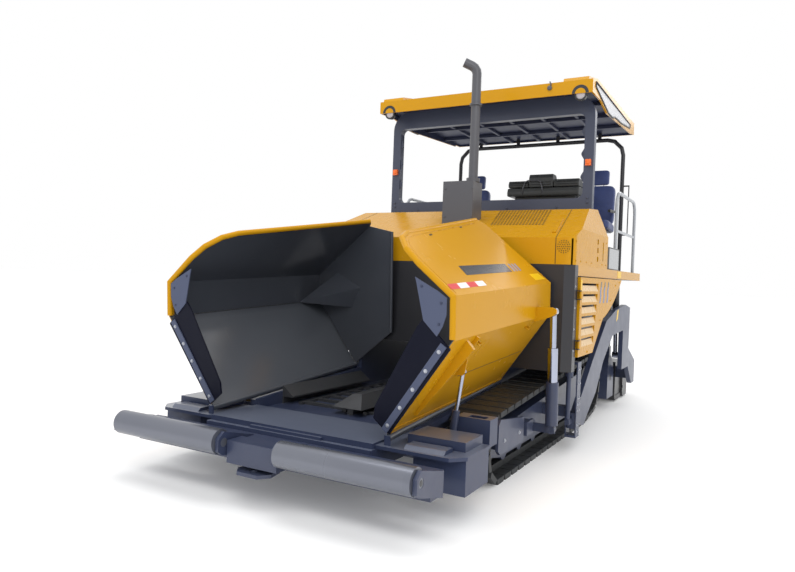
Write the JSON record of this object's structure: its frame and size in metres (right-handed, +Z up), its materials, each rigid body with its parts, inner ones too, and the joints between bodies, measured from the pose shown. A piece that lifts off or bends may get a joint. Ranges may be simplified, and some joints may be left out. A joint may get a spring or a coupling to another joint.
{
  "type": "tracked asphalt paver",
  "caption": "Yellow and grey tracked asphalt paver with folded hopper wings, push rollers, canopy, augers and lowered screed.",
  "frame": {"origin": "on the ground, on the centre plane, midway between the push rollers' front and the screed walkway's rear edge", "axes": "+X to the operator's left, -Y is the driving direction, +Z up"},
  "size_m": [3.078, 7.14, 4.0058],
  "materials": {
    "yellow_paint": "gloss",
    "grey_paint": "satin",
    "dark_paint": "satin",
    "worn_steel": "satin",
    "chrome": "polished",
    "rubber": "matte",
    "blue_seat": "satin",
    "black_plastic": "matte",
    "lamp_lens": "gloss",
    "light_grey_paint": "satin"
  },
  "bodies": {
    "chassis": {"main_frame": "grey_paint", "front_platform": "grey_paint", "push_beam": "grey_paint", "hopper_floor": "worn_steel", "slat_conveyors": "worn_steel", "track_frames": "grey_paint", "track_left": "rubber", "track_right": "rubber", "track_wheels": "dark_paint", "bulkhead": "dark_paint", "side_tanks": "dark_paint", "engine_block": "dark_paint", "deck_frame": "yellow_paint", "hood": "yellow_paint", "exhaust": "dark_paint", "rops_frame": "grey_paint", "canopy": "yellow_paint", "rear_hoop": "dark_paint", "handrails": "light_grey_paint", "console": "black_plastic", "lamps": "lamp_lens", "rear_steps": "dark_paint", "seats": "blue_seat", "side_boxes": "light_grey_paint", "guide_posts": "grey_paint", "auger_frame": "grey_paint"},
    "hopper_wing_left": {"wing_left": "yellow_paint", "flap_left": "rubber"},
    "wing_cylinder_barrel_left": {"wing_cylinder_barrel_left": "dark_paint"},
    "wing_cylinder_stage_left": {"wing_cylinder_stage_left": "chrome"},
    "wing_cylinder_rod_left": {"wing_cylinder_rod_left": "chrome"},
    "front_cylinder_barrel_left": {"front_cylinder_barrel_left": "dark_paint"},
    "front_cylinder_rod_left": {"front_cylinder_rod_left": "chrome"},
    "push_roller_left": {"push_roller_left": "worn_steel"},
    "auger_left": {"auger_left": "worn_steel"},
    "side_door_left": {"side_door_left": "yellow_paint"},
    "screed_extension_left": {"screed_extension_left": "dark_paint"},
    "lift_cylinder_barrel_left": {"lift_cylinder_barrel_left": "dark_paint"},
    "lift_cylinder_rod_left": {"lift_cylinder_rod_left": "chrome"},
    "hopper_wing_right": {"wing_right": "yellow_paint", "flap_right": "rubber"},
    "wing_cylinder_barrel_right": {"wing_cylinder_barrel_right": "dark_paint"},
    "wing_cylinder_stage_right": {"wing_cylinder_stage_right": "chrome"},
    "wing_cylinder_rod_right": {"wing_cylinder_rod_right": "chrome"},
    "front_cylinder_barrel_right": {"front_cylinder_barrel_right": "dark_paint"},
    "front_cylinder_rod_right": {"front_cylinder_rod_right": "chrome"},
    "push_roller_right": {"push_roller_right": "worn_steel"},
    "auger_right": {"auger_right": "worn_steel"},
    "side_door_right": {"side_door_right": "yellow_paint"},
    "screed_extension_right": {"screed_extension_right": "dark_paint"},
    "lift_cylinder_barrel_right": {"lift_cylinder_barrel_right": "dark_paint"},
    "lift_cylinder_rod_right": {"lift_cylinder_rod_right": "chrome"},
    "tow_points": {"tow_points": "grey_paint"},
    "screed": {"screed": "dark_paint", "tow_arm_left": "grey_paint", "tow_arm_right": "grey_paint"}
  },
  "joints": [
    {"name": "wing_left_fold", "type": "hinge", "parent": "chassis", "child": "hopper_wing_left", "pos_m": [0.825, -3.01, 0.513], "axis": [0, 0.9976, 0.0698], "range_deg": [0, 35]},
    {"name": "wing_cylinder_left_swing", "type": "hinge", "parent": "chassis", "child": "wing_cylinder_barrel_left", "pos_m": [1.45, -1.21754, 0.33961], "axis": [0, 0.9976, 0.0698], "range_deg": [0, 30.2]},
    {"name": "wing_cylinder_left_stage", "type": "slide", "parent": "wing_cylinder_barrel_left", "child": "wing_cylinder_stage_left", "axis": [0, -0.0698, 0.9976], "range_m": [-0.208, 0]},
    {"name": "wing_cylinder_left_rod", "type": "slide", "parent": "wing_cylinder_stage_left", "child": "wing_cylinder_rod_left", "axis": [0, -0.0698, 0.9976], "range_m": [-0.208, 0]},
    {"name": "front_cylinder_left_swing", "type": "hinge", "parent": "chassis", "child": "front_cylinder_barrel_left", "pos_m": [1.03, -2.43688, 0.33054], "axis": [0, 0.9976, 0.0698], "range_deg": [0, 27.7]},
    {"name": "front_cylinder_left_rod", "type": "slide", "parent": "front_cylinder_barrel_left", "child": "front_cylinder_rod_left", "axis": [0.1675, -0.0688, 0.9835], "range_m": [-0.169, 0]},
    {"name": "push_roller_left_spin", "type": "hinge", "parent": "chassis", "child": "push_roller_left", "pos_m": [0.78, -3.48, 0.415], "axis": [1, 0, 0], "continuous": true},
    {"name": "auger_left_spin", "type": "hinge", "parent": "chassis", "child": "auger_left", "pos_m": [0.6, 2.13, 0.4], "axis": [1, 0, 0], "continuous": true},
    {"name": "side_door_left_swing", "type": "hinge", "parent": "chassis", "child": "side_door_left", "pos_m": [1.526, -0.688, 1.28], "axis": [0, 0, -1], "range_deg": [0, 95]},
    {"name": "screed_extension_left_slide", "type": "slide", "parent": "screed", "child": "screed_extension_left", "axis": [1, 0, 0], "range_m": [0, 1]},
    {"name": "lift_cylinder_left_swing", "type": "hinge", "parent": "chassis", "child": "lift_cylinder_barrel_left", "pos_m": [1.35, 1.85, 1.64], "axis": [1, 0, 0], "range_deg": [-1.2, 0]},
    {"name": "lift_cylinder_left_rod", "type": "slide", "parent": "lift_cylinder_barrel_left", "child": "lift_cylinder_rod_left", "axis": [0, 0.1399, -0.9902], "range_m": [-0.155, 0]},
    {"name": "wing_right_fold", "type": "hinge", "parent": "chassis", "child": "hopper_wing_right", "pos_m": [-0.825, -3.01, 0.513], "axis": [0, -0.9976, -0.0698], "range_deg": [0, 35]},
    {"name": "wing_cylinder_right_swing", "type": "hinge", "parent": "chassis", "child": "wing_cylinder_barrel_right", "pos_m": [-1.45, -1.21754, 0.33961], "axis": [0, -0.9976, -0.0698], "range_deg": [0, 30.2]},
    {"name": "wing_cylinder_right_stage", "type": "slide", "parent": "wing_cylinder_barrel_right", "child": "wing_cylinder_stage_right", "axis": [0, -0.0698, 0.9976], "range_m": [-0.208, 0]},
    {"name": "wing_cylinder_right_rod", "type": "slide", "parent": "wing_cylinder_stage_right", "child": "wing_cylinder_rod_right", "axis": [0, -0.0698, 0.9976], "range_m": [-0.208, 0]},
    {"name": "front_cylinder_right_swing", "type": "hinge", "parent": "chassis", "child": "front_cylinder_barrel_right", "pos_m": [-1.03, -2.43688, 0.33054], "axis": [0, -0.9976, -0.0698], "range_deg": [0, 27.7]},
    {"name": "front_cylinder_right_rod", "type": "slide", "parent": "front_cylinder_barrel_right", "child": "front_cylinder_rod_right", "axis": [-0.1675, -0.0688, 0.9835], "range_m": [-0.169, 0]},
    {"name": "push_roller_right_spin", "type": "hinge", "parent": "chassis", "child": "push_roller_right", "pos_m": [-0.78, -3.48, 0.415], "axis": [1, 0, 0], "continuous": true},
    {"name": "auger_right_spin", "type": "hinge", "parent": "chassis", "child": "auger_right", "pos_m": [-0.6, 2.13, 0.4], "axis": [1, 0, 0], "continuous": true},
    {"name": "side_door_right_swing", "type": "hinge", "parent": "chassis", "child": "side_door_right", "pos_m": [-1.526, -0.688, 1.28], "axis": [0, 0, 1], "range_deg": [0, 95]},
    {"name": "screed_extension_right_slide", "type": "slide", "parent": "screed", "child": "screed_extension_right", "axis": [-1, 0, 0], "range_m": [0, 1]},
    {"name": "lift_cylinder_right_swing", "type": "hinge", "parent": "chassis", "child": "lift_cylinder_barrel_right", "pos_m": [-1.35, 1.85, 1.64], "axis": [1, 0, 0], "range_deg": [-1.2, 0]},
    {"name": "lift_cylinder_right_rod", "type": "slide", "parent": "lift_cylinder_barrel_right", "child": "lift_cylinder_rod_right", "axis": [0, 0.1399, -0.9902], "range_m": [-0.155, 0]},
    {"name": "tow_point_level", "type": "slide", "parent": "chassis", "child": "tow_points", "axis": [0, 0, 1], "range_m": [0, 0.15]},
    {"name": "screed_lift", "type": "hinge", "parent": "tow_points", "child": "screed", "pos_m": [0, -0.48, 0.3], "axis": [1, 0, 0], "range_deg": [0, 3.5]}
  ],
  "couplings": [
    {"joint": "wing_cylinder_left_swing", "follows": "wing_left_fold", "ratio": 0.8487},
    {"joint": "wing_cylinder_left_stage", "follows": "wing_left_fold", "m_per_rad": -0.33534},
    {"joint": "wing_cylinder_left_rod", "follows": "wing_left_fold", "m_per_rad": -0.33534},
    {"joint": "front_cylinder_left_swing", "follows": "wing_left_fold", "ratio": 0.7769},
    {"joint": "front_cylinder_left_rod", "follows": "wing_left_fold", "m_per_rad": -0.27232},
    {"joint": "lift_cylinder_left_swing", "follows": "screed_lift", "ratio": -0.19022},
    {"joint": "lift_cylinder_left_rod", "follows": "screed_lift", "m_per_rad": -2.49},
    {"joint": "wing_cylinder_right_swing", "follows": "wing_right_fold", "ratio": 0.8487},
    {"joint": "wing_cylinder_right_stage", "follows": "wing_right_fold", "m_per_rad": -0.33534},
    {"joint": "wing_cylinder_right_rod", "follows": "wing_right_fold", "m_per_rad": -0.33534},
    {"joint": "front_cylinder_right_swing", "follows": "wing_right_fold", "ratio": 0.7769},
    {"joint": "front_cylinder_right_rod", "follows": "wing_right_fold", "m_per_rad": -0.27232},
    {"joint": "lift_cylinder_right_swing", "follows": "screed_lift", "ratio": -0.19022},
    {"joint": "lift_cylinder_right_rod", "follows": "screed_lift", "m_per_rad": -2.49}
  ]
}
